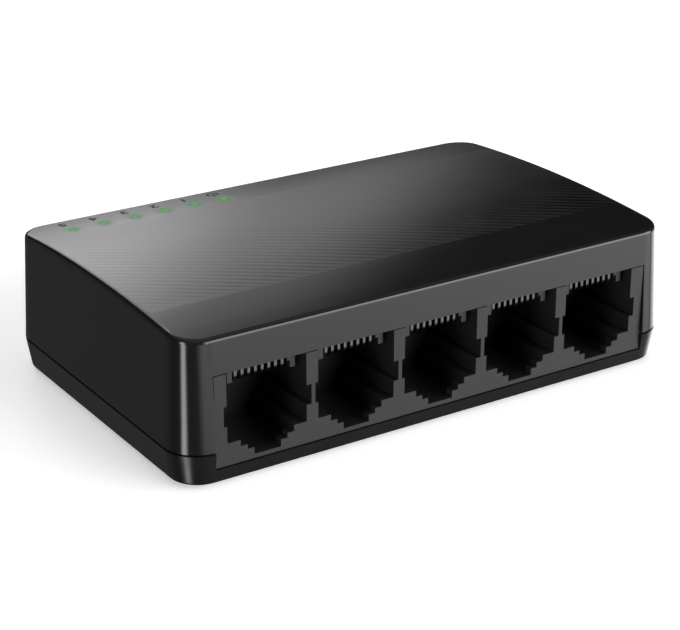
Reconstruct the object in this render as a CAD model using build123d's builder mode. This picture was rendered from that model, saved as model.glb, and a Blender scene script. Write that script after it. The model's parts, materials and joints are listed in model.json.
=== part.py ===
from build123d import *
import math
import os

# Five-port desktop network switch, in millimetres.
# Origin: centre of the footprint on the ground. +Z is up, the network ports face -Y,
# and the status lights are on the top, along the +Y edge.
# The circuit board hangs upside down above the port housing, so that the lights are next to the top.

os.makedirs("parts", exist_ok=True)

# ---- Case -------------------------------------------------------------------------------------
foot_proud = 0.6
case_width = 82.4
case_depth = 52.0
corner_radius = 5.0
wall = 1.6
wall_draft = 3.0
base_height = 4.7
base_taper = 9.4
floor_thickness = 1.5
case_height = 21.75
crown_radius = 262.0
top_edge_radius = 0.7
# The middle of the top is sunk by a hair for its ribbed finish.
band_front_y = -15.0
band_rear_y = 17.4
band_half_width = 39.5
band_recess = 0.06
base_edge_radius = 0.5

base_bottom = foot_proud
seam_z = base_bottom + base_height
crown_peak = base_bottom + case_height
floor_top = base_bottom + floor_thickness

# The two shells meet with a narrow shadow gap; the tray's tongue fills the shell's rebate behind it.
seam_gap = 0.3
shell_bottom = seam_z + seam_gap / 2
tray_top = seam_z - seam_gap / 2
tongue_inset = 0.85
tongue_height = 1.6

# ---- Port housing and contacts ------------------------------------------------------------------
port_count = 5
port_pitch = 13.97
port_shift = -0.2
housing_width = 72.1
housing_face_y = -25.4
housing_depth = 15.5
housing_bottom = base_bottom + 2.2
housing_top = base_bottom + 15.3
housing_gap = 0.15
cavity_depth = 12.2
latch_wall = 1.3
latch_room_half_width = 4.6

# Each opening is a stack of slots of falling width: (half width, height of its floor above the base).
opening_steps = [(6.08, 5.4), (4.1, 4.5), (3.05, 3.8), (2.05, 2.8)]
relief_bottom = base_bottom + 7.8
relief_top = base_bottom + 10.7
relief_left = 0.45
relief_right = 0.78

wire_count = 8
wire_pitch = 1.016
wire_width = 0.4
wire_thickness = 0.3
nose_y = -22.6
nose_z = base_bottom + 14.4
nose_radius = 0.65
nose_drop = 0.7
spring_slope = 24.0
spring_length = 7.6
tail_rows = (-13.0, -15.54)
tail_proud = 1.0

carrier_floor_bottom = nose_z - 0.3
carrier_floor_top = nose_z + nose_radius - wire_thickness / 2
carrier_front_y = -22.35
carrier_step_y = -19.5
carrier_back_y = -10.4
comb_half_width = 5.18
comb_tooth_y = -24.0
comb_tooth_width = 0.78
comb_shoulder_width = 0.45
comb_shoulder_height = 1.1
comb_tooth_bottom = base_bottom + 13.2
groove_width = 0.5

# ---- Circuit board ------------------------------------------------------------------------------
board_bottom = housing_top
board_thickness = 1.6
board_top = board_bottom + board_thickness
board_width = 76.8
board_front_y = -23.2
board_back_y = 23.2
peg_radius = 0.8
peg_y = -18.0
peg_xs = (port_shift - 1.5 * port_pitch, port_shift + 1.5 * port_pitch)

transformer_size = (12.4, 7.0, 5.6)
transformer_y = -4.2
transformer_standoff = 0.3
transformer_pins = 8
transformer_pin_pitch = 1.27

chip_size = 7.0
chip_thickness = 1.4
chip_standoff = 0.2
chip_centre = (-4.0, 11.0)
chip_pins = 12
chip_pin_pitch = 0.5

crystal_size = (11.4, 4.7, 3.6)
crystal_centre = (-20.0, 11.0)
inductor_size = (6.0, 6.0, 3.0)
inductor_centre = (19.5, 7.5)
regulator_size = (4.9, 3.9, 1.5)
regulator_centre = (11.0, 7.5)
can_radius = 3.15
can_height = 5.8
can_base = 6.6
can_base_height = 0.9
can_centres = ((10.5, 16.5), (19.5, 16.5))
ceramic_size = (1.6, 0.8, 0.8)
resistor_size = (1.6, 0.8, 0.45)

# ---- Status lights ------------------------------------------------------------------------------
light_count = 6
light_pitch = 5.02
light_first_x = -33.7
light_y = 19.66
light_post_radius = 0.6
guide_rail_bottom = board_top + 1.5
guide_rail_height = 0.8
guide_rail_width = 1.6
guide_rail_overhang = 2.0
led_size = (1.6, 0.8, 0.7)

# ---- Power inlet, in the +X side wall ------------------------------------------------------------
inlet_y = 16.0
inlet_width = 9.0
inlet_length = 14.2
inlet_height = 10.3
inlet_face_x = 40.7
inlet_axis_z = board_bottom - 6.4
inlet_gap = 0.2
socket_radius = 3.15
socket_depth = 10.0
inlet_pin_radius = 1.0
inlet_pin_root_radius = 0.8
inlet_pin_recess = 1.0
leaf_width = 2.6
leaf_slot_width = 3.2
leaf_thickness = 0.25
leaf_length = 8.0
leaf_rise = 0.7
leaf_gap = 0.05
leaf_pivot_x = inlet_face_x - inlet_length + 3.6
terminal_thickness = 0.5
terminal_width = 3.0

# ---- Screws, posts and feet ----------------------------------------------------------------------
screw_centres = ((-35.0, 5.0), (35.0, 5.0))
screw_shank_radius = 1.25
screw_head_radius = 2.2
screw_head_height = 1.8
screw_seat_z = base_bottom + 10.4
screw_length = 9.0
screw_recess_radius = 0.9
screw_recess_depth = 0.9
screw_post_radius = 3.2
screw_well_radius = 2.4
screw_boss_radius = 2.7
post_radius = 1.8
post_centres = ((-20.0, 20.5), (15.0, 21.4))
foot_radius = 4.0
foot_thickness = 1.2
foot_centres = ((-33.0, -18.0), (33.0, -18.0), (-33.0, 18.0), (33.0, 18.0))
vent_count = 12
vent_pitch = 4.0
vent_size = (1.5, 16.0)
vent_y = 3.0

port_centres = [port_shift + (i - (port_count - 1) / 2) * port_pitch for i in range(port_count)]
wire_offsets = [(i - (wire_count - 1) / 2) * wire_pitch for i in range(wire_count)]
light_centres = [light_first_x + i * light_pitch for i in range(light_count)]
inlet_back_x = inlet_face_x - inlet_length
reach = 4 * case_depth


def save(piece, name):
    """Label a finished piece and write it as one STEP file."""
    piece.label = name
    export_step(piece, f"parts/{name}.step")


def box_at(low, high, mode=Mode.ADD):
    """A box from its lowest to its highest corner, in the open part."""
    size = [b - a for a, b in zip(low, high)]
    with Locations(tuple(low)):
        Box(*size, align=(Align.MIN, Align.MIN, Align.MIN), mode=mode)


def crowned_block(inset):
    """The upper shell's form, moved in by an inset on its sides and its top.

    The walls lean in by the draft, and the top is an arch across the depth of the case.
    """
    with BuildPart() as block:
        with BuildSketch(Plane.XY.offset(shell_bottom)):
            RectangleRounded(case_width - 2 * inset, case_depth - 2 * inset, corner_radius - inset)
        extrude(amount=crown_peak - shell_bottom, taper=wall_draft)
        with Locations((0, 0, crown_peak - crown_radius)):
            Cylinder(crown_radius - inset, case_width, rotation=(0, 90, 0), mode=Mode.INTERSECT)
    return block


def rounded_block(z, height, inset, taper=0):
    """A block of the case's outline, moved in by an inset, from height z up or down."""
    with BuildPart() as block:
        with BuildSketch(Plane.XY.offset(z)):
            RectangleRounded(case_width - 2 * inset, case_depth - 2 * inset, corner_radius - inset)
        extrude(amount=height, taper=taper)
    return block


# ---- Upper shell ---------------------------------------------------------------------------------
shell_outside = crowned_block(0)
shell_inside = crowned_block(wall)

with BuildPart() as band_cut:
    box_at(
        (-band_half_width, band_front_y, crown_peak - wall),
        (band_half_width, band_rear_y, crown_peak + wall),
    )
    with Locations((0, 0, crown_peak - crown_radius)):
        Cylinder(crown_radius - band_recess, case_width, rotation=(0, 90, 0), mode=Mode.SUBTRACT)

with BuildPart() as upper_shell:
    add(shell_outside.part)
    top_face = upper_shell.faces().sort_by(Axis.Z)[-1]
    fillet(top_face.edges(), radius=top_edge_radius)
    add(band_cut.part, mode=Mode.SUBTRACT)
    add(shell_inside.part, mode=Mode.SUBTRACT)
    # Rebate for the tray's tongue.
    with BuildSketch(Plane.XY.offset(shell_bottom)):
        RectangleRounded(
            case_width - 2 * tongue_inset, case_depth - 2 * tongue_inset, corner_radius - tongue_inset
        )
    extrude(amount=tongue_height, mode=Mode.SUBTRACT)
    # Screw bosses hang from the top down to the circuit board.
    with BuildSketch(Plane.XY.offset(board_top)):
        with Locations(*screw_centres):
            Circle(screw_boss_radius)
    extrude(until=Until.NEXT)
    with BuildSketch(Plane.XY.offset(board_top)):
        with Locations(*screw_centres):
            Circle(screw_shank_radius)
    extrude(amount=screw_seat_z + screw_length - board_top, mode=Mode.SUBTRACT)
    # Opening over the row of ports, in the front wall.
    box_at(
        (-housing_width / 2 - housing_gap, -reach, 0),
        (housing_width / 2 + housing_gap, housing_face_y + 3 * wall, housing_top + housing_gap),
        mode=Mode.SUBTRACT,
    )
    # Opening for the power inlet, in the +X wall.
    box_at(
        (inlet_face_x - 2 * wall, inlet_y - inlet_width / 2 - inlet_gap, 0),
        (reach, inlet_y + inlet_width / 2 + inlet_gap, board_bottom + inlet_gap),
        mode=Mode.SUBTRACT,
    )
    # Holes for the posts of the light guide.
    with BuildSketch(Plane.XY.offset(guide_rail_bottom)):
        with Locations(*[(x, light_y) for x in light_centres]):
            Circle(light_post_radius)
    extrude(amount=case_height, mode=Mode.SUBTRACT)
save(upper_shell.part, "upper_shell")

# ---- Base tray -----------------------------------------------------------------------------------
tray_outside = rounded_block(tray_top, base_bottom - tray_top, 0, taper=base_taper)
tray_inside = rounded_block(tray_top, floor_top - tray_top, wall, taper=base_taper)
tongue_outside = rounded_block(floor_top, shell_bottom + tongue_height - floor_top, tongue_inset)
tongue_inside = rounded_block(floor_top, case_height, wall + 0.1)

with BuildPart() as tongue:
    add(tongue_outside.part)
    add(tongue_inside.part, mode=Mode.SUBTRACT)
    box_at((-reach, -reach, 0), (reach, reach, tray_top), mode=Mode.SUBTRACT)

with BuildPart() as base_tray:
    add(tray_outside.part)
    fillet(base_tray.faces().sort_by(Axis.Z)[0].edges(), radius=base_edge_radius)
    add(tray_inside.part, mode=Mode.SUBTRACT)
    add(tongue.part)
    # Hollow posts carry the board and hide the screw heads; plain posts hold its rear edge.
    with BuildSketch(Plane.XY.offset(floor_top)):
        with Locations(*screw_centres):
            Circle(screw_post_radius)
        with Locations(*post_centres):
            Circle(post_radius)
    extrude(amount=board_bottom - floor_top)
    with BuildSketch(Plane.XY):
        with Locations(*screw_centres):
            Circle(screw_well_radius)
    extrude(amount=screw_seat_z, mode=Mode.SUBTRACT)
    with BuildSketch(Plane.XY.offset(screw_seat_z)):
        with Locations(*screw_centres):
            Circle(screw_shank_radius)
    extrude(amount=board_bottom - screw_seat_z, mode=Mode.SUBTRACT)
    # Notch for the port housing, in the front wall.
    box_at(
        (-housing_width / 2 - housing_gap, -reach, housing_bottom - housing_gap),
        (housing_width / 2 + housing_gap, housing_face_y + 3 * wall, case_height),
        mode=Mode.SUBTRACT,
    )
    # Break in the tongue for the power inlet.
    box_at(
        (inlet_face_x - 2 * wall, inlet_y - inlet_width / 2 - inlet_gap, tray_top),
        (reach, inlet_y + inlet_width / 2 + inlet_gap, case_height),
        mode=Mode.SUBTRACT,
    )
    # Recesses for the feet, and a row of vents.
    with BuildSketch(Plane.XY):
        with Locations(*foot_centres):
            Circle(foot_radius)
    extrude(amount=foot_thickness, mode=Mode.SUBTRACT)
    with BuildSketch(Plane.XY):
        with Locations((0, vent_y)):
            with GridLocations(vent_pitch, 1, vent_count, 1):
                SlotOverall(vent_size[1], vent_size[0], rotation=90)
    extrude(amount=floor_top, mode=Mode.SUBTRACT)
save(base_tray.part, "base_tray")

with BuildPart() as rubber_feet:
    with BuildSketch(Plane.XY):
        with Locations(*foot_centres):
            Circle(foot_radius)
    extrude(amount=foot_thickness)
    chamfer(rubber_feet.faces().group_by(Axis.Z)[0].edges(), length=foot_proud / 2)
save(rubber_feet.part, "rubber_feet")

# ---- Case screws: pan head below, shank up through the board into the shell's boss ---------------
with BuildPart() as case_screws:
    with BuildSketch(Plane.XY.offset(screw_seat_z - screw_head_height)):
        with Locations(*screw_centres):
            Circle(screw_head_radius)
    extrude(amount=screw_head_height)
    chamfer(case_screws.faces().group_by(Axis.Z)[0].edges(), length=screw_head_height / 4)
    with BuildSketch(Plane.XY.offset(screw_seat_z)):
        with Locations(*screw_centres):
            Circle(screw_shank_radius)
    extrude(amount=screw_length)
    with BuildSketch(Plane.XY.offset(screw_seat_z - screw_head_height)):
        with Locations(*screw_centres):
            RegularPolygon(screw_recess_radius, 6)
    extrude(amount=screw_recess_depth, mode=Mode.SUBTRACT)
save(case_screws.part, "case_screws")

# ---- Port housing: one moulding with five openings ------------------------------------------------
face_plane = Plane.XZ.offset(-housing_face_y)

with BuildPart() as port_housing:
    box_at(
        (-housing_width / 2, housing_face_y, housing_bottom),
        (housing_width / 2, housing_face_y + housing_depth, housing_top),
    )
    with BuildSketch(face_plane):
        for centre in port_centres:
            for half_width, floor_height in opening_steps:
                step_floor = base_bottom + floor_height
                with Locations((centre, (step_floor + housing_top) / 2)):
                    Rectangle(2 * half_width, housing_top - step_floor)
            relief_width = 2 * opening_steps[0][0] + relief_left + relief_right
            relief_centre = centre + (relief_right - relief_left) / 2
            with Locations((relief_centre, (relief_bottom + relief_top) / 2)):
                Rectangle(relief_width, relief_top - relief_bottom)
    extrude(amount=-cavity_depth, mode=Mode.SUBTRACT)
    for centre in port_centres:
        # Shelf for the contact carrier, over the cavity's back wall.
        box_at(
            (centre - opening_steps[0][0], housing_face_y, carrier_floor_bottom),
            (centre + opening_steps[0][0], carrier_back_y, housing_top),
            mode=Mode.SUBTRACT,
        )
        # Room behind the latch wall, where a plug's latch springs out.
        box_at(
            (
                centre - latch_room_half_width,
                housing_face_y + latch_wall,
                base_bottom + opening_steps[-1][1],
            ),
            (
                centre + latch_room_half_width,
                housing_face_y + cavity_depth,
                base_bottom + opening_steps[0][1],
            ),
            mode=Mode.SUBTRACT,
        )
        # Core pocket behind the back wall.
        box_at(
            (centre - 5.6, housing_face_y + housing_depth - 2.0, housing_bottom + 1.5),
            (centre + 5.6, housing_face_y + housing_depth, carrier_floor_bottom - 1.5),
            mode=Mode.SUBTRACT,
        )
    # Pegs that locate the housing in the board.
    with BuildSketch(Plane.XY.offset(housing_top)):
        with Locations(*[(x, peg_y) for x in peg_xs]):
            Circle(peg_radius)
    extrude(amount=board_thickness)
save(port_housing.part, "port_housing")


# ---- Contacts of one port ------------------------------------------------------------------------
def make_carrier(centre):
    """The insert that holds one port's wires: a grooved shelf with a comb at its front."""
    body_half_width = opening_steps[0][0] - 0.05
    with BuildPart() as carrier:
        box_at(
            (centre - comb_half_width, carrier_front_y, carrier_floor_bottom),
            (centre + comb_half_width, carrier_step_y, housing_top),
        )
        box_at(
            (centre - body_half_width, carrier_step_y, carrier_floor_bottom),
            (centre + body_half_width, carrier_back_y, housing_top),
        )
        # A tooth stands at each end of the comb, and one of them has a shoulder.
        for side in (-1, 1):
            outer = side * comb_half_width
            inner = side * (comb_half_width - comb_tooth_width)
            box_at(
                (centre + min(inner, outer), comb_tooth_y, comb_tooth_bottom),
                (centre + max(inner, outer), carrier_front_y + 1, housing_top),
            )
        box_at(
            (
                centre + comb_half_width - comb_tooth_width - comb_shoulder_width,
                comb_tooth_y,
                housing_top - comb_shoulder_height,
            ),
            (centre + comb_half_width - comb_tooth_width, carrier_front_y + 1, housing_top),
        )
        for offset_x in wire_offsets:
            box_at(
                (centre + offset_x - groove_width / 2, carrier_front_y - 1, carrier_floor_top),
                (centre + offset_x + groove_width / 2, carrier_back_y, housing_top),
                mode=Mode.SUBTRACT,
            )
    return carrier.part


def make_leads(centre):
    """The fixed half of one port's eight wires: along the carrier, then up through the board."""
    with BuildPart() as leads:
        for index, offset_x in enumerate(wire_offsets):
            x = centre + offset_x
            tail_y = tail_rows[index % 2]
            box_at(
                (x - wire_width / 2, nose_y, carrier_floor_top),
                (x + wire_width / 2, tail_y + wire_width / 2, carrier_floor_top + wire_thickness),
            )
            box_at(
                (x - wire_width / 2, tail_y - wire_width / 2, carrier_floor_top),
                (x + wire_width / 2, tail_y + wire_width / 2, board_top + tail_proud),
            )
    return leads.part


def make_springs(centre):
    """The moving half of the wires: over the nose, straight down, then into the cavity at a slope."""
    slope = math.radians(spring_slope)
    with BuildPart() as springs:
        for offset_x in wire_offsets:
            with BuildSketch(Plane.YZ.offset(centre + offset_x)):
                with BuildLine():
                    nose = CenterArc((nose_y, nose_z), nose_radius, 90, 90)
                    Line(nose @ 1, nose @ 1 - Vector(0, nose_drop))
                    CenterArc((nose_y, nose_z - nose_drop), nose_radius, 180, 90 - spring_slope)
                    leg_start = Vector(nose_y, nose_z - nose_drop) - Vector(
                        math.sin(slope), math.cos(slope)
                    ) * nose_radius
                    leg_end = leg_start + Vector(math.cos(slope), -math.sin(slope)) * spring_length
                    Line(leg_start, leg_end)
                trace(line_width=wire_thickness)
            extrude(amount=wire_width / 2, both=True)
    return springs.part


for number, port_x in enumerate(port_centres, start=1):
    save(make_carrier(port_x), f"contact_carrier_{number}")
    save(make_leads(port_x), f"contact_leads_{number}")
    save(make_springs(port_x), f"contact_springs_{number}")

# ---- Circuit board -------------------------------------------------------------------------------
tail_hole_radius = 0.3
terminal_slot = (1.0, terminal_width + 0.4)
inlet_pin_tail_x = inlet_back_x - terminal_thickness / 2
leaf_tail_x = inlet_back_x - 2.0

with BuildPart() as circuit_board:
    with BuildSketch(Plane.XY.offset(board_bottom)):
        with Locations((0, (board_front_y + board_back_y) / 2)):
            RectangleRounded(board_width, board_back_y - board_front_y, corner_radius / 2)
        for port_x in port_centres:
            for index, offset_x in enumerate(wire_offsets):
                with Locations((port_x + offset_x, tail_rows[index % 2])):
                    Circle(tail_hole_radius, mode=Mode.SUBTRACT)
        with Locations(*[(x, peg_y) for x in peg_xs]):
            Circle(peg_radius, mode=Mode.SUBTRACT)
        with Locations(*screw_centres):
            Circle(screw_shank_radius, mode=Mode.SUBTRACT)
        with Locations((inlet_pin_tail_x, inlet_y), (leaf_tail_x, inlet_y)):
            Rectangle(*terminal_slot, mode=Mode.SUBTRACT)
    extrude(amount=board_thickness)
save(circuit_board.part, "circuit_board")


# ---- Components under the board -------------------------------------------------------------------
def gull_wing(plane, edge, middle_z, foot_end, width, thickness):
    """One pin in the open part: out of a body's edge, up to the board, and out along it."""
    knee = edge + 2 * thickness
    with BuildSketch(plane) as outline:
        with BuildLine():
            Polyline(
                (edge, middle_z),
                (knee, middle_z),
                (knee, board_bottom - thickness / 2),
                (foot_end, board_bottom - thickness / 2),
            )
        trace(line_width=thickness)
    extrude(outline.sketch, amount=width / 2, both=True)


def component(size, centre, standoff=0.0):
    """A block with softened edges, hung from the underside of the board."""
    top = board_bottom - standoff
    with BuildPart() as block:
        with BuildSketch(Plane.XY.offset(top)):
            with Locations(centre):
                Rectangle(size[0], size[1])
        extrude(amount=-size[2])
        chamfer(block.faces().sort_by(Axis.Z)[0].edges(), length=min(size) / 12)
    return block.part


transformer_middle = board_bottom - transformer_standoff - transformer_size[2] / 2
for number, port_x in enumerate(port_centres, start=1):
    body = component(transformer_size, (port_x, transformer_y), transformer_standoff)
    save(body, f"transformer_{number}")

with BuildPart() as transformer_pins_group:
    half_depth = transformer_size[1] / 2
    for port_x in port_centres:
        for index in range(transformer_pins):
            pin_x = port_x + (index - (transformer_pins - 1) / 2) * transformer_pin_pitch
            for side in (-1, 1):
                pin_plane = Plane(
                    origin=(pin_x, transformer_y, 0), x_dir=(0, side, 0), z_dir=(side, 0, 0)
                )
                gull_wing(pin_plane, half_depth, transformer_middle, half_depth + 1.2, 0.4, 0.2)
save(transformer_pins_group.part, "transformer_pins")

save(component((chip_size, chip_size, chip_thickness), chip_centre, chip_standoff), "switch_chip")

with BuildPart() as switch_chip_pins:
    chip_middle = board_bottom - chip_standoff - chip_thickness / 2
    for quarter in range(4):
        outward = Vector(0, 1, 0).rotate(Axis.Z, 90 * quarter)
        along = outward.cross(Vector(0, 0, 1))
        for index in range(chip_pins):
            shift = (index - (chip_pins - 1) / 2) * chip_pin_pitch
            origin = Vector(*chip_centre, 0) + along * shift
            pin_plane = Plane(origin=origin, x_dir=outward, z_dir=along)
            gull_wing(pin_plane, chip_size / 2, chip_middle, chip_size / 2 + 1.0, 0.22, 0.14)
save(switch_chip_pins.part, "switch_chip_pins")

save(component(regulator_size, regulator_centre), "voltage_regulator")
save(component(inductor_size, inductor_centre), "power_inductor")

with BuildPart() as crystal:
    with BuildSketch(Plane.XY.offset(board_bottom)):
        with Locations(crystal_centre):
            SlotOverall(crystal_size[0], crystal_size[1])
    extrude(amount=-crystal_size[2])
    fillet(crystal.faces().sort_by(Axis.Z)[0].edges(), radius=0.4)
save(crystal.part, "crystal")

with BuildPart() as electrolytic_capacitors:
    with BuildSketch(Plane.XY.offset(board_bottom)):
        with Locations(*can_centres):
            Rectangle(can_base, can_base)
    extrude(amount=-can_base_height)
    with BuildSketch(Plane.XY.offset(board_bottom - can_base_height)):
        with Locations(*can_centres):
            Circle(can_radius)
    extrude(amount=can_base_height - can_height)
    fillet(electrolytic_capacitors.faces().group_by(Axis.Z)[0].edges(), radius=0.4)
save(electrolytic_capacitors.part, "electrolytic_capacitors")

# Small ceramic capacitors ring the chip and the regulator; resistors stand in a row by the ports.
ceramic_centres = [(chip_centre[0] + dx, chip_centre[1] + dy) for dx in (-7.5, 7.5) for dy in (-3, 0, 3)]
ceramic_centres += [(regulator_centre[0] + dx, regulator_centre[1] - 4.2) for dx in (-2, 2, 6)]
resistor_centres = [(port_x + dx, 2.2) for port_x in port_centres for dx in (-3.6, -1.2, 1.2, 3.6)]

for name, size, centres in (
    ("ceramic_capacitors", ceramic_size, ceramic_centres),
    ("chip_resistors", resistor_size, resistor_centres),
):
    with BuildPart() as chips:
        with BuildSketch(Plane.XY.offset(board_bottom)):
            with Locations(*centres):
                Rectangle(size[0], size[1])
        extrude(amount=-size[2])
    save(chips.part, name)

# ---- Status lights and their guide ----------------------------------------------------------------
with BuildPart() as status_leds:
    with BuildSketch(Plane.XY.offset(board_top)):
        with Locations(*[(x, light_y) for x in light_centres]):
            Rectangle(led_size[0], led_size[1])
    extrude(amount=led_size[2])
save(status_leds.part, "status_leds")

with BuildPart() as light_guide:
    with BuildSketch(Plane.XY.offset(guide_rail_bottom)):
        with Locations(((light_centres[0] + light_centres[-1]) / 2, light_y)):
            rail_length = light_centres[-1] - light_centres[0] + 2 * guide_rail_overhang
            SlotOverall(rail_length, guide_rail_width)
    extrude(amount=guide_rail_height)
    with BuildSketch(Plane.XY.offset(guide_rail_bottom)):
        with Locations(*[(x, light_y) for x in light_centres]):
            Circle(light_post_radius)
    extrude(amount=case_height)
    # The posts end flush with the crown.
    with Locations((0, 0, crown_peak - crown_radius)):
        Cylinder(crown_radius, case_width, rotation=(0, 90, 0), mode=Mode.INTERSECT)
save(light_guide.part, "light_guide")

# ---- Power inlet ----------------------------------------------------------------------------------
inlet_bottom = board_bottom - inlet_height
leaf_pivot_z = inlet_bottom + 0.45
leaf_tip_x = leaf_pivot_x + leaf_length

with BuildPart() as power_inlet_body:
    box_at(
        (inlet_back_x, inlet_y - inlet_width / 2, inlet_bottom),
        (inlet_face_x, inlet_y + inlet_width / 2, board_bottom),
    )
    with BuildSketch(Plane.YZ.offset(inlet_face_x)):
        with Locations((inlet_y, inlet_axis_z)):
            Circle(socket_radius)
    extrude(amount=-socket_depth, mode=Mode.SUBTRACT)
    with BuildSketch(Plane.YZ.offset(inlet_back_x)):
        with Locations((inlet_y, inlet_axis_z)):
            Circle(inlet_pin_root_radius)
    extrude(amount=inlet_length - socket_depth, mode=Mode.SUBTRACT)
    # Slot under the socket for the spring leaf and its terminal.
    box_at(
        (inlet_back_x, inlet_y - leaf_slot_width / 2, inlet_bottom),
        (leaf_tip_x + 0.6, inlet_y + leaf_slot_width / 2, inlet_axis_z - socket_radius + 0.5),
        mode=Mode.SUBTRACT,
    )
save(power_inlet_body.part, "power_inlet_body")

with BuildPart() as power_inlet_pin:
    with BuildSketch(Plane.YZ.offset(inlet_back_x)):
        with Locations((inlet_y, inlet_axis_z)):
            Circle(inlet_pin_root_radius)
    extrude(amount=inlet_length - socket_depth)
    with BuildSketch(Plane.YZ.offset(inlet_face_x - socket_depth)):
        with Locations((inlet_y, inlet_axis_z)):
            Circle(inlet_pin_radius)
    extrude(amount=socket_depth - inlet_pin_recess)
    fillet(power_inlet_pin.faces().sort_by(Axis.X)[-1].edges(), radius=inlet_pin_radius / 2)
    box_at(
        (inlet_back_x - terminal_thickness, inlet_y - terminal_width / 2, inlet_axis_z - terminal_width / 2),
        (inlet_back_x, inlet_y + terminal_width / 2, board_top + tail_proud),
    )
save(power_inlet_pin.part, "power_inlet_pin")

with BuildPart() as power_inlet_leaf:
    with BuildSketch(Plane.XZ.offset(-inlet_y)):
        with BuildLine():
            Polyline(
                (leaf_pivot_x, leaf_pivot_z),
                (leaf_tip_x - 1.5, leaf_pivot_z + leaf_rise),
                (leaf_tip_x, leaf_pivot_z),
            )
        trace(line_width=leaf_thickness)
    extrude(amount=leaf_width / 2, both=True)
save(power_inlet_leaf.part, "power_inlet_leaf")

# The leaf's fixed terminal runs back under the pin and up to the board behind it.
with BuildPart() as power_inlet_terminal:
    box_at(
        (leaf_tail_x, inlet_y - leaf_width / 2, leaf_pivot_z - leaf_thickness / 2),
        (leaf_pivot_x - leaf_gap, inlet_y + leaf_width / 2, leaf_pivot_z + leaf_thickness / 2),
    )
    box_at(
        (
            leaf_tail_x - terminal_thickness / 2,
            inlet_y - terminal_width / 2,
            leaf_pivot_z - leaf_thickness / 2,
        ),
        (leaf_tail_x + terminal_thickness / 2, inlet_y + terminal_width / 2, board_top + tail_proud),
    )
save(power_inlet_terminal.part, "power_inlet_terminal")
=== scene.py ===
"""Looks of a five-port desktop network switch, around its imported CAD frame. Lengths are in metres."""

import json
import math

import bmesh
import bpy
from mathutils import Matrix, Vector

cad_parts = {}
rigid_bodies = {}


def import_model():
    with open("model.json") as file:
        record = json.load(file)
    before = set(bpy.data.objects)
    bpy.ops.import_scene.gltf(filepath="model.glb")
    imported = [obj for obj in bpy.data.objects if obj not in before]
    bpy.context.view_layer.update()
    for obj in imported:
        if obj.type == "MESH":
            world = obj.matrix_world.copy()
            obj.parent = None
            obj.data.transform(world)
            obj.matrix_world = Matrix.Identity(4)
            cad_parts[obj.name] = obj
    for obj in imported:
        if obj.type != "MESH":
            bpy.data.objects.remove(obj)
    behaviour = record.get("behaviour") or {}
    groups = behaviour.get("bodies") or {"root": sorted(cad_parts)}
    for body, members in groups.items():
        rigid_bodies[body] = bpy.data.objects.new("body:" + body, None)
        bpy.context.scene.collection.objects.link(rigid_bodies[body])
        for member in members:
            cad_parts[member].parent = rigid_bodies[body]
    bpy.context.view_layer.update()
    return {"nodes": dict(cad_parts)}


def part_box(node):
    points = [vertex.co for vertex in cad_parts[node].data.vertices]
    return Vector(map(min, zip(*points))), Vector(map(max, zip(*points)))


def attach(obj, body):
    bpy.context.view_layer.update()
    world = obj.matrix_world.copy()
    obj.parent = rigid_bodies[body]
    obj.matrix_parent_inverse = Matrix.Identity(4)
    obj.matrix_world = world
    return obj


MM = 0.001

# ---- Driving values: the top and its hatched band -----------------------------------------------
CROWN_RADIUS = 262 * MM
BAND_FRONT_Y = -15.0 * MM
BAND_REAR_Y = 17.4 * MM
BAND_HALF_WIDTH = 39.5 * MM
BAND_RECESS = 0.06 * MM
BAND_SKIN_GAP = 0.003 * MM
HATCH_PITCH = 1.2 * MM
HATCH_ANGLE = math.radians(-33)
HATCH_ALONG = Vector((math.cos(HATCH_ANGLE), math.sin(HATCH_ANGLE)))
HATCH_ACROSS = Vector((-HATCH_ALONG.y, HATCH_ALONG.x))
HATCH_DEPTH = 0.013 * MM
HATCH_FADE = 1.2 * MM
# Mesh cells: how many across one rib, and how long each is along it.
HATCH_STEPS = 8
HATCH_CELL = 1 * MM
# Strength of the painted shade in the band's grooves and the painted light on its rib crests.
RIB_SHADE = 0.45

# ---- Driving values: status lights and printed marks --------------------------------------------
PORT_COUNT = 5
LIGHT_COUNT = 6
LIGHT_PITCH = 5.02 * MM
LIGHT_CORE = 0.4 * MM
LIGHT_HALO = 1.1 * MM
HALO_STRETCH = 1.25
# How far below the highest point of the top the glow still shows.
GLOW_REACH = 3 * MM
CORE_GLOW = 0.22
HALO_GLOW = 0.17
# Brightness of the light at the -X end, as a share of the one at the +X end.
DIMMEST_LIGHT = 0.7
FROSTING = 0.35
MARK_OFFSET_X = -0.3 * MM
MARK_OFFSET_Y = 3.05 * MM
MARK_HEIGHT = 1.6 * MM
MARK_STRETCH = 1.2
MARK_BOLDNESS = 0.035
MARK_LIFT = 0.004 * MM
POWER_RING = 0.8 * MM
POWER_LINE = 0.34 * MM
POWER_HALF_GAP = math.radians(38)
POWER_STEPS = 32

# ---- Driving values: colours --------------------------------------------------------------------
CASE_BLACK = (0.0092, 0.0092, 0.0095)
PORT_BLACK = (0.012, 0.012, 0.0123)
RUBBER_BLACK = (0.02, 0.02, 0.02)
EPOXY_BLACK = (0.02, 0.02, 0.021)
TRANSFORMER_BLACK = (0.025, 0.025, 0.024)
RESISTOR_BLACK = (0.03, 0.03, 0.035)
CONTACT_GREY = (0.14, 0.14, 0.137)
TIN_GREY = (0.75, 0.75, 0.74)
NICKEL_GREY = (0.72, 0.71, 0.68)
TERMINAL_GREY = (0.7, 0.7, 0.68)
SCREW_GREY = (0.35, 0.35, 0.36)
CAN_GREY = (0.78, 0.78, 0.79)
LIGHT_GREEN = (0.01, 1.0, 0.03, 1)
LED_GREEN = (0.1, 1.0, 0.2, 1)
WHITE = (1, 1, 1, 1)
FLOOR_WHITE = (0.9, 0.9, 0.9, 1)
TRACK_SCALE = 260.0
TRACK_GAP = 0.03

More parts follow.
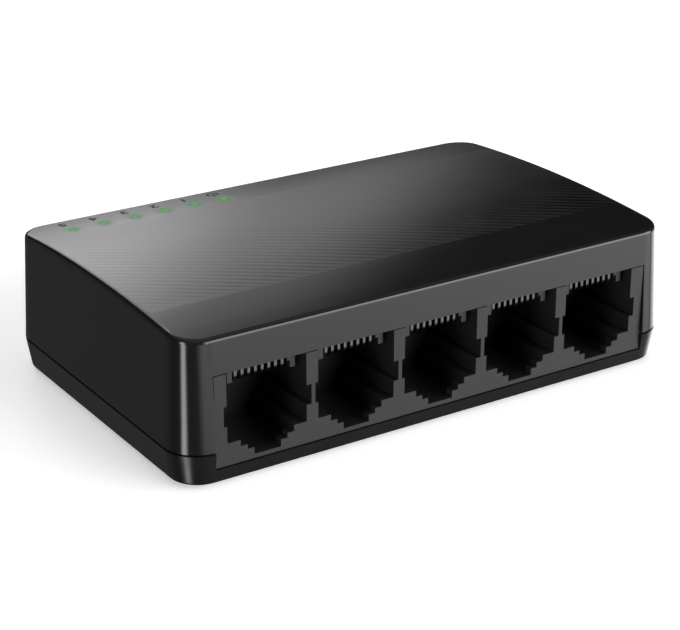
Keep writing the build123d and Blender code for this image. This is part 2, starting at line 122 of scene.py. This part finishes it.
# ---- Driving values: camera and studio ----------------------------------------------------------
# Lens and sensor are in millimetres, as Blender takes them.
CAMERA_LENS = 102.1
CAMERA_SENSOR = 36
CAMERA_CLIP = 10 * MM
CAMERA_AZIMUTH = math.radians(-32.94)
CAMERA_ELEVATION = math.radians(22.74)
CAMERA_AIM = Vector((1.07, 2.19, 6.37)) * MM
CAMERA_DISTANCE = 289.5 * MM

FLOOR_HALF = 3.0
FLOOR_CLOUDS = 0.4
FLOOR_GLOW = 0.45
OVERHEAD_SIZE = 1.2
OVERHEAD_HEIGHT = 1.2
OVERHEAD_POWER = 3.0
ROOM_GLOW = 0.01
# Azimuth, elevation, half width, half height, softness across and up (degrees), and brightness.
PANELS = (
    # Behind the object, mirrored in the top.
    (150, 21.5, 2, 4.5, (6, 12), 0.9),
    (158, 23.5, 2, 7, (6, 12), 2.2),
    (170, 21.5, 5, 4.5, (6, 12), 2.0),
    # Higher behind, mirrored softly in the front part of the top.
    (168, 40, 10, 5, (12, 10), 1.6),
    # In front and below, mirrored in the port face.
    (30, -24, 30, 3, (28, 9), 1.0),
    (30, -10, 30, 3, (28, 9), 2.6),
    # In front and above, mirrored in the edge over the ports.
    (38, 16, 25, 11, (15, 8), 7.0),
    # Narrow and upright, mirrored down the corner at the -X end of the port face.
    (-69.5, -10, 2.5, 30, (10, 14), 8.8),
    # Mirrored in the corner at the +X end of the port face.
    (106, -17, 16, 8, (14, 10), 2.6),
    # Dim, mirrored in the -X wall.
    (-150, -15, 20, 20, (20, 14), 0.1),
    # Overhead, all round.
    (0, 90, 180, 25, (1, 25), 0.35),
)

# ---- The frame ----------------------------------------------------------------------------------
for old in list(bpy.data.objects):
    bpy.data.objects.remove(old)

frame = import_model()
nodes = frame["nodes"]
scene = bpy.context.scene

top_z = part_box("upper_shell")[1].z
guide_low, guide_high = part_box("light_guide")
light_y = (guide_low.y + guide_high.y) / 2
light_middle_x = (guide_low.x + guide_high.x) / 2
light_xs = [light_middle_x + (i - (LIGHT_COUNT - 1) / 2) * LIGHT_PITCH for i in range(LIGHT_COUNT)]


def crown_z(y, below=0.0):
    """Height of the top surface at y, or of the same arc a little below it."""
    radius = CROWN_RADIUS - below
    return top_z - CROWN_RADIUS + math.sqrt(radius * radius - y * y)


# ---- Node trees ---------------------------------------------------------------------------------
class Tree:
    """A node tree of a material or the world, with one short call for each node and its inputs."""

    def __init__(self, owner):
        owner.use_nodes = True
        self.tree = owner.node_tree

    def add(self, kind, inputs=None, **settings):
        node = self.tree.nodes.new("ShaderNode" + kind)
        for key, value in settings.items():
            setattr(node, key, value)
        for key, value in (inputs or {}).items():
            self.feed(node.inputs[key], value)
        return node

    def feed(self, socket, value):
        """Link a socket to another node's output, or give it a plain value."""
        if isinstance(value, bpy.types.NodeSocket):
            self.tree.links.new(value, socket)
        else:
            socket.default_value = value

    def math(self, operation, *values):
        node = self.add("Math", operation=operation)
        for socket, value in zip(node.inputs, values):
            self.feed(socket, value)
        return node.outputs[0]


class Surface(Tree):
    """A material around one Principled shader."""

    def __init__(self, name):
        self.material = bpy.data.materials.new(name)
        super().__init__(self.material)
        self.shader = self.tree.nodes["Principled BSDF"]

    def place(self):
        """Position on the surface, in the object's own frame."""
        return self.add("TexCoord").outputs["Object"]

    def place_parts(self):
        """The same position as separate x, y and z."""
        return self.add("SeparateXYZ", {"Vector": self.place()}).outputs

    def ramp(self, factor, low, high):
        """A factor from 0 to 1 turned into a value from low to high."""
        return self.add("MapRange", {"Value": factor, "To Min": low, "To Max": high}).outputs[0]

    def noise(self, size, detail):
        """Noise whose features are about size metres across, in the object's own frame."""
        inputs = {"Vector": self.place(), "Scale": 1 / size, "Detail": detail}
        return self.add("TexNoise", inputs).outputs[0]

    def bump(self, height, depth):
        """Relief of that depth in metres."""
        inputs = {"Height": height, "Distance": depth, "Strength": 1.0}
        return self.add("Bump", inputs).outputs[0]

    def tint(self, factor, dark, light):
        """A colour between two, by a factor."""
        node = self.add("Mix", data_type="RGBA")
        self.feed(node.inputs["Factor"], factor)
        self.feed(node.inputs["A"], (*dark, 1))
        self.feed(node.inputs["B"], (*light, 1))
        return node.outputs["Result"]

    def shades(self, factor, colour, darkest, lightest):
        """A colour that varies between two multiples of itself, by a factor."""
        dark = [part * darkest for part in colour]
        light = [part * lightest for part in colour]
        return self.tint(factor, dark, light)

    def set(self, **inputs):
        """Feed the shader's inputs, named with _ for each space, and return the material."""
        for key, value in inputs.items():
            self.feed(self.shader.inputs[key.replace("_", " ")], value)
        return self.material


def moulded_plastic(name, colour, roughness, grain=0.25 * MM, grain_depth=0.004 * MM):
    """Moulded plastic: a spark-eroded grain, and faint clouds in its colour and gloss."""
    n = Surface(name)
    clouds = n.noise(size=6 * MM, detail=3)
    fine = n.noise(size=grain, detail=2)
    return n.set(
        Base_Color=n.shades(clouds, colour, darkest=0.85, lightest=1.15),
        Roughness=n.ramp(clouds, low=roughness - 0.03, high=roughness + 0.03),
        Normal=n.bump(fine, depth=grain_depth),
    )


def metal(name, colour, roughness):
    """Plated metal with a fine grain in its gloss and relief."""
    n = Surface(name)
    marks = n.noise(size=0.08 * MM, detail=3)
    clouds = n.noise(size=2 * MM, detail=2)
    return n.set(
        Metallic=1.0,
        Base_Color=n.shades(clouds, colour, darkest=0.9, lightest=1.0),
        Roughness=n.ramp(marks, low=roughness * 0.8, high=roughness * 1.3),
        Normal=n.bump(marks, depth=0.002 * MM),
    )


def paint(material, *names):
    """Give CAD nodes a material in place of their plain one."""
    for name in names:
        for slot in nodes[name].material_slots:
            slot.material = material


def numbered(stem):
    """Names of the nodes that each port has one of."""
    return [f"{stem}_{i}" for i in range(1, PORT_COUNT + 1)]


# ---- Materials ----------------------------------------------------------------------------------
def light_glow(n, spread, fullest):
    """Brightness round the nearest status window: a soft spot of that spread, fuller towards +X."""
    x, y, z = n.place_parts()
    step = n.math("DIVIDE", n.math("SUBTRACT", x, light_xs[0]), LIGHT_PITCH)
    last = float(LIGHT_COUNT - 1)
    nearest = n.math("MINIMUM", n.math("MAXIMUM", n.math("ROUND", step), 0.0), last)
    across = n.math("MULTIPLY", n.math("SUBTRACT", step, nearest), LIGHT_PITCH)
    along = n.math("DIVIDE", n.math("SUBTRACT", y, light_y), HALO_STRETCH)
    squared = n.math("ADD", n.math("MULTIPLY", across, across), n.math("MULTIPLY", along, along))
    spot = n.math("EXPONENT", n.math("DIVIDE", squared, -spread * spread))
    on_top = n.math("GREATER_THAN", z, top_z - GLOW_REACH)
    fuller = n.ramp(n.math("DIVIDE", nearest, last), low=DIMMEST_LIGHT * fullest, high=fullest)
    return n.math("MULTIPLY", n.math("MULTIPLY", spot, on_top), fuller)


def case_shell_material():
    """The upper shell's plastic, with the green light that bleeds into it round each status window."""
    n = Surface("case_shell")
    clouds = n.noise(size=8 * MM, detail=3)
    fine = n.noise(size=0.22 * MM, detail=2)
    gloss = n.ramp(clouds, low=0.14, high=0.17)
    return n.set(
        Base_Color=n.shades(clouds, CASE_BLACK, darkest=0.9, lightest=1.1),
        Roughness=n.math("ADD", gloss, light_glow(n, LIGHT_HALO, FROSTING)),
        Specular_IOR_Level=0.4,
        Emission_Color=LIGHT_GREEN,
        Emission_Strength=light_glow(n, LIGHT_HALO, HALO_GLOW),
        Normal=n.bump(fine, depth=0.001 * MM),
    )


def light_window_material():
    """The thin lit skin over each light guide post: dark plastic with a small bright core."""
    n = Surface("light_window")
    halo = light_glow(n, LIGHT_HALO, HALO_GLOW)
    core = light_glow(n, LIGHT_CORE, CORE_GLOW)
    clouds = n.noise(size=0.5 * MM, detail=1)
    return n.set(
        Base_Color=n.tint(clouds, dark=(0.01, 0.03, 0.012), light=(0.015, 0.045, 0.018)),
        Roughness=0.5,
        Emission_Color=LIGHT_GREEN,
        Emission_Strength=n.math("ADD", halo, core),
    )


def print_material():
    """Matt ink, a little worn."""
    n = Surface("mark_ink")
    wear = n.noise(size=0.3 * MM, detail=3)
    return n.set(
        Base_Color=n.tint(wear, dark=(0.003, 0.003, 0.003), light=(0.007, 0.007, 0.007)),
        Roughness=0.6,
        Specular_IOR_Level=0.25,
    )


def board_material():
    """Green solder mask over copper tracks, which show as a faint relief."""
    n = Surface("board")
    inputs = {"Vector": n.place(), "Scale": TRACK_SCALE, "Mortar Size": TRACK_GAP}
    tracks = n.add("TexBrick", inputs).outputs["Fac"]
    return n.set(
        Base_Color=n.tint(tracks, dark=(0.012, 0.13, 0.05), light=(0.02, 0.2, 0.08)),
        Roughness=0.3,
        Normal=n.bump(tracks, depth=0.02 * MM),
    )


def ferrite_material():
    """Gritty grey ferrite."""
    n = Surface("ferrite")
    grit = n.noise(size=0.3 * MM, detail=4)
    return n.set(
        Base_Color=n.tint(grit, dark=(0.07, 0.07, 0.075), light=(0.16, 0.16, 0.165)),
        Roughness=0.7,
        Normal=n.bump(grit, depth=0.02 * MM),
    )


def ceramic_material():
    """Speckled tan ceramic."""
    n = Surface("ceramic")
    grit = n.noise(size=0.2 * MM, detail=3)
    return n.set(
        Base_Color=n.tint(grit, dark=(0.42, 0.31, 0.2), light=(0.56, 0.44, 0.3)),
        Roughness=0.4,
    )


def led_material():
    """Pale resin, lit green from inside."""
    n = Surface("led_lens")
    core = n.noise(size=0.4 * MM, detail=1)
    return n.set(
        Base_Color=n.tint(core, dark=(0.6, 0.75, 0.6), light=(0.8, 0.9, 0.8)),
        Roughness=0.2,
        Emission_Color=LED_GREEN,
        Emission_Strength=1.0,
    )


def band_material():
    """The shell's plastic, a touch more matt, with painted light along the crests of the ribs and
    painted shade along their grooves.
    """
    n = Surface("band_plastic")
    clouds = n.noise(size=8 * MM, detail=3)
    fine = n.noise(size=0.15 * MM, detail=2)
    x, y, _ = n.place_parts()
    part_x = n.math("MULTIPLY", x, HATCH_ACROSS.x)
    part_y = n.math("MULTIPLY", y, HATCH_ACROSS.y)
    turns = n.math("DIVIDE", n.math("ADD", part_x, part_y), HATCH_PITCH / (2 * math.pi))
    # Painted shade and light: the colour is darker in each groove and lighter on each crest, in step
    # with the ribs' relief.
    rib_painted_shading = n.math("MULTIPLY", n.math("COSINE", turns), -RIB_SHADE)
    return n.set(
        Base_Color=n.shades(n.math("ADD", clouds, rib_painted_shading), CASE_BLACK, darkest=0.0, lightest=2.4),
        Roughness=n.ramp(clouds, low=0.2, high=0.24),
        Specular_IOR_Level=0.6,
        Normal=n.bump(fine, depth=0.0015 * MM),
    )


paint(case_shell_material(), "upper_shell")
paint(moulded_plastic("case_tray", CASE_BLACK, roughness=0.28), "base_tray")
paint(
    moulded_plastic("port_plastic", PORT_BLACK, roughness=0.38),
    "port_housing",
    *numbered("contact_carrier"),
)
paint(moulded_plastic("inlet_plastic", PORT_BLACK, roughness=0.32), "power_inlet_body")
paint(
    moulded_plastic("foot_rubber", RUBBER_BLACK, roughness=0.75, grain=0.4 * MM, grain_depth=0.02 * MM),
    "rubber_feet",
)
paint(
    moulded_plastic("epoxy", EPOXY_BLACK, roughness=0.5, grain=0.1 * MM),
    "switch_chip",
    "voltage_regulator",
)
paint(
    moulded_plastic("transformer_case", TRANSFORMER_BLACK, roughness=0.42),
    *numbered("transformer"),
)
paint(
    moulded_plastic("resistor_body", RESISTOR_BLACK, roughness=0.45, grain=0.1 * MM),
    "chip_resistors",
)
paint(
    metal("contact_plate", CONTACT_GREY, roughness=0.3),
    *numbered("contact_leads"),
    *numbered("contact_springs"),
)
paint(metal("tin_plate", TIN_GREY, roughness=0.3), "switch_chip_pins", "transformer_pins")
paint(metal("nickel_plate", NICKEL_GREY, roughness=0.22), "power_inlet_pin", "power_inlet_leaf")
paint(metal("terminal_plate", TERMINAL_GREY, roughness=0.3), "power_inlet_terminal")
paint(metal("screw_plate", SCREW_GREY, roughness=0.35), "case_screws")
paint(metal("can_shell", CAN_GREY, roughness=0.28), "crystal", "electrolytic_capacitors")
paint(board_material(), "circuit_board")
paint(ferrite_material(), "power_inductor")
paint(ceramic_material(), "ceramic_capacitors")
paint(led_material(), "status_leds")
paint(light_window_material(), "light_guide")


# ---- New pieces ---------------------------------------------------------------------------------
def add_piece(name, mesh, material):
    """A new piece of the case, in the row frame."""
    piece = bpy.data.objects.new(name, mesh)
    scene.collection.objects.link(piece)
    piece.data.materials.clear()
    piece.data.materials.append(material)
    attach(piece, "case")
    return piece


def lay_sheet(build):
    """A flat sheet of cells in line with the ribs, which reaches past the band on every side."""
    corners = [
        Vector((x, y))
        for x in (-BAND_HALF_WIDTH, BAND_HALF_WIDTH)
        for y in (BAND_FRONT_Y, BAND_REAR_Y)
    ]
    across = [corner.dot(HATCH_ACROSS) for corner in corners]
    along = [corner.dot(HATCH_ALONG) for corner in corners]
    spare = 2 * HATCH_PITCH
    across_start = HATCH_PITCH * math.floor(min(across) / HATCH_PITCH) - spare
    across_end = max(across) + spare
    along_start = min(along) - spare
    along_end = max(along) + spare
    columns = math.ceil((across_end - across_start) / HATCH_PITCH) * HATCH_STEPS
    rows = math.ceil((along_end - along_start) / HATCH_CELL)
    lines = []
    for column in range(columns + 1):
        away = HATCH_ACROSS * (across_start + column * HATCH_PITCH / HATCH_STEPS)
        line = []
        for row in range(rows + 1):
            spot = away + HATCH_ALONG * (along_start + row * (along_end - along_start) / rows)
            line.append(build.verts.new((spot.x, spot.y, 0)))
        lines.append(line)
    for left, right in zip(lines, lines[1:]):
        for row in range(rows):
            build.faces.new((left[row], left[row + 1], right[row + 1], right[row]))


def cut_to_band(build):
    """Cut the sheet to the band's outline."""
    for side, point in (
        ((-1, 0, 0), (-BAND_HALF_WIDTH, 0, 0)),
        ((1, 0, 0), (BAND_HALF_WIDTH, 0, 0)),
        ((0, -1, 0), (0, BAND_FRONT_Y, 0)),
        ((0, 1, 0), (0, BAND_REAR_Y, 0)),
    ):
        geometry = build.verts[:] + build.edges[:] + build.faces[:]
        bmesh.ops.bisect_plane(build, geom=geometry, plane_co=point, plane_no=side, clear_outer=True)


def press_grooves(build):
    """Bend the sheet to the crown and sink its grooves, which fade out towards the outline."""
    for vert in build.verts:
        phase = vert.co.xy.dot(HATCH_ACROSS) / HATCH_PITCH
        groove = 0.5 + 0.5 * math.cos(2 * math.pi * phase)
        inside = min(BAND_HALF_WIDTH - abs(vert.co.x), vert.co.y - BAND_FRONT_Y, BAND_REAR_Y - vert.co.y)
        fade = min(max(inside / HATCH_FADE, 0.0), 1.0)
        vert.co.z = crown_z(vert.co.y, BAND_SKIN_GAP) - HATCH_DEPTH * fade * groove ** 2


def close_below(build):
    """Add a skirt from the outline down to the recess, and a floor across its foot."""
    rim = [edge for edge in build.edges if edge.is_boundary]
    foot = {}
    for edge in rim:
        edge.smooth = False
        for vert in edge.verts:
            if vert not in foot:
                foot[vert] = build.verts.new((vert.co.x, vert.co.y, crown_z(vert.co.y, BAND_RECESS)))
    for edge in rim:
        start, end = edge.verts
        build.faces.new((start, end, foot[end], foot[start]))
    bmesh.ops.contextual_create(build, geom=[edge for edge in build.edges if edge.is_boundary])
    bmesh.ops.recalc_face_normals(build, faces=build.faces[:])


def band_mesh():
    """The ribbed skin across the top: shallow ribs at a slant, smooth above and closed below."""
    build = bmesh.new()
    lay_sheet(build)
    cut_to_band(build)
    press_grooves(build)
    top = build.faces[:]
    close_below(build)
    for face in top:
        face.smooth = True
    mesh = bpy.data.meshes.new("hatched_band")
    build.to_mesh(mesh)
    build.free()
    return mesh


def on_crown(mesh, x, y):
    """Lay a flat mark on the top at (x, y), turned to be read from the rear."""
    for vert in mesh.vertices:
        spot_x = x - vert.co.x
        spot_y = y - vert.co.y
        vert.co = (spot_x, spot_y, crown_z(spot_y) + MARK_LIFT)
    return mesh


def digit_mesh(text):
    """A printed digit of the marks' height and width, centred on the origin."""
    curve = bpy.data.curves.new("digit", "FONT")
    curve.body = text
    curve.offset = MARK_BOLDNESS
    drawn = bpy.data.objects.new("digit", curve)
    scene.collection.objects.link(drawn)
    bpy.context.view_layer.update()
    graph = bpy.context.evaluated_depsgraph_get()
    mesh = bpy.data.meshes.new_from_object(drawn.evaluated_get(graph))
    bpy.data.objects.remove(drawn)
    bpy.data.curves.remove(curve)
    xs = [vert.co.x for vert in mesh.vertices]
    ys = [vert.co.y for vert in mesh.vertices]
    middle = Vector(((min(xs) + max(xs)) / 2, (min(ys) + max(ys)) / 2, 0))
    scale = MARK_HEIGHT / (max(ys) - min(ys))
    mesh.transform(Matrix.Diagonal((scale * MARK_STRETCH, scale, 1, 1)) @ Matrix.Translation(-middle))
    return mesh


def power_mesh():
    """A generic power mark: an open ring with a short bar in its gap."""
    half = POWER_LINE / 2
    inner = POWER_RING - half
    outer = POWER_RING + half
    points = []
    faces = []
    for i in range(POWER_STEPS + 1):
        turn = math.pi / 2 + POWER_HALF_GAP + (2 * math.pi - 2 * POWER_HALF_GAP) * i / POWER_STEPS
        for radius in (inner, outer):
            points.append((radius * math.cos(turn), radius * math.sin(turn), 0))
    for i in range(POWER_STEPS):
        faces.append((2 * i, 2 * i + 1, 2 * i + 3, 2 * i + 2))
    first = len(points)
    points += [(-half, 0, 0), (half, 0, 0), (half, outer + half, 0), (-half, outer + half, 0)]
    faces.append((first, first + 1, first + 2, first + 3))
    mesh = bpy.data.meshes.new("power_mark")
    mesh.from_pydata(points, [], faces)
    return mesh


def add_marks():
    """The port numbers and the power mark, printed behind the status windows."""
    ink = print_material()
    y = light_y + MARK_OFFSET_Y
    for x, text in zip(light_xs, "54321"):
        add_piece(f"mark_{text}", on_crown(digit_mesh(text), x + MARK_OFFSET_X, y), ink)
    add_piece("mark_power", on_crown(power_mesh(), light_xs[-1] + MARK_OFFSET_X, y), ink)


add_piece("hatched_band", band_mesh(), band_material())
add_marks()


# ---- Camera, floor and light --------------------------------------------------------------------
def direction(azimuth, elevation):
    """Unit vector from the object towards a place at that azimuth and elevation."""
    level = math.cos(elevation)
    return Vector((math.sin(azimuth) * level, -math.cos(azimuth) * level, math.sin(elevation)))


def add_camera():
    """The camera, which looks at its aim from CAMERA_DISTANCE away."""
    data = bpy.data.cameras.new("camera")
    data.lens = CAMERA_LENS
    data.sensor_width = CAMERA_SENSOR
    data.clip_start = CAMERA_CLIP
    camera = bpy.data.objects.new("camera", data)
    back = direction(CAMERA_AZIMUTH, CAMERA_ELEVATION)
    camera.location = CAMERA_AIM + back * CAMERA_DISTANCE
    camera.rotation_euler = (-back).to_track_quat("-Z", "Y").to_euler()
    scene.collection.objects.link(camera)
    scene.camera = camera


def floor_material():
    """Pale matt paper that glows a little, and is clear from below."""
    n = Surface("floor_paper")
    clouds = n.noise(size=FLOOR_CLOUDS, detail=2)
    n.set(
        Base_Color=FLOOR_WHITE,
        Roughness=0.9,
        Specular_IOR_Level=0.0,
        Emission_Color=n.tint(clouds, dark=(0.98, 0.98, 0.98), light=(1, 1, 1)),
        Emission_Strength=FLOOR_GLOW,
    )
    below = n.add("NewGeometry").outputs["Backfacing"]
    clear = n.add("BsdfTransparent").outputs[0]
    mixed = n.add("MixShader", {0: below, 1: n.shader.outputs[0], 2: clear})
    n.feed(n.tree.nodes["Material Output"].inputs["Surface"], mixed.outputs[0])
    return n.material


def add_floor():
    """A wide floor that isn't mirrored in the object's glossy sides."""
    mesh = bpy.data.meshes.new("floor")
    corners = [(FLOOR_HALF * x, FLOOR_HALF * y, 0) for x, y in ((-1, -1), (1, -1), (1, 1), (-1, 1))]
    mesh.from_pydata(corners, [], [(0, 1, 2, 3)])
    mesh.materials.append(floor_material())
    floor = bpy.data.objects.new("floor", mesh)
    floor.visible_glossy = False
    scene.collection.objects.link(floor)


def add_overhead():
    """A wide light above, for the floor and the soft shadow under the object."""
    data = bpy.data.lights.new("overhead", "AREA")
    data.size = OVERHEAD_SIZE
    data.energy = OVERHEAD_POWER
    light = bpy.data.objects.new("overhead", data)
    light.location = (0, 0, OVERHEAD_HEIGHT)
    light.visible_camera = False
    light.visible_glossy = False
    scene.collection.objects.link(light)


class Sky(Tree):
    """The world's node tree: soft panels of light around the object, by azimuth and elevation."""

    def __init__(self, world):
        super().__init__(world)
        place = self.add("TexCoord").outputs["Generated"]
        self.x, self.y, height = self.add("SeparateXYZ", {"Vector": place}).outputs
        self.elevation = self.math("ARCSINE", height)
        self.total = None

    def window(self, value, half, soft):
        """1 where value is within half of 0, fading to 0 over soft beyond that."""
        inputs = {
            "Value": self.math("ABSOLUTE", value),
            "From Min": half,
            "From Max": half + soft,
            "To Min": 1.0,
            "To Max": 0.0,
        }
        return self.add("MapRange", inputs, interpolation_type="SMOOTHSTEP").outputs[0]

    def blend(self, operation, x_share, y_share):
        """The sum or difference of a share of x and a share of y."""
        x_part = self.math("MULTIPLY", self.x, x_share)
        y_part = self.math("MULTIPLY", self.y, y_share)
        return self.math(operation, x_part, y_part)

    def panel(self, azimuth, elevation, half_width, half_height, soft, brightness):
        """Add a panel; angles are in degrees, and azimuth 0 is in front of the ports."""
        turn = math.radians(azimuth)
        ahead = self.blend("SUBTRACT", math.sin(turn), math.cos(turn))
        aside = self.blend("ADD", math.cos(turn), math.sin(turn))
        off_azimuth = self.math("ARCTAN2", aside, ahead)
        off_elevation = self.math("SUBTRACT", self.elevation, math.radians(elevation))
        wide = self.window(off_azimuth, math.radians(half_width), math.radians(soft[0]))
        high = self.window(off_elevation, math.radians(half_height), math.radians(soft[1]))
        light = self.math("MULTIPLY", self.math("MULTIPLY", wide, high), brightness)
        self.total = light if self.total is None else self.math("ADD", self.total, light)


def add_world():
    """White for the camera; for the object, a dim room with soft panels of light."""
    world = bpy.data.worlds.new("studio")
    sky = Sky(world)
    for panel in PANELS:
        sky.panel(*panel)
    room = sky.math("ADD", sky.total, ROOM_GLOW)
    seen = sky.add("LightPath").outputs["Is Camera Ray"]
    strength = sky.add("MapRange", {"Value": seen, "To Min": room, "To Max": 1.0})
    background = sky.tree.nodes["Background"]
    sky.feed(background.inputs["Color"], WHITE)
    sky.feed(background.inputs["Strength"], strength.outputs[0])
    scene.world = world


add_camera()
add_floor()
add_world()
add_overhead()
scene.view_settings.view_transform = "Standard"
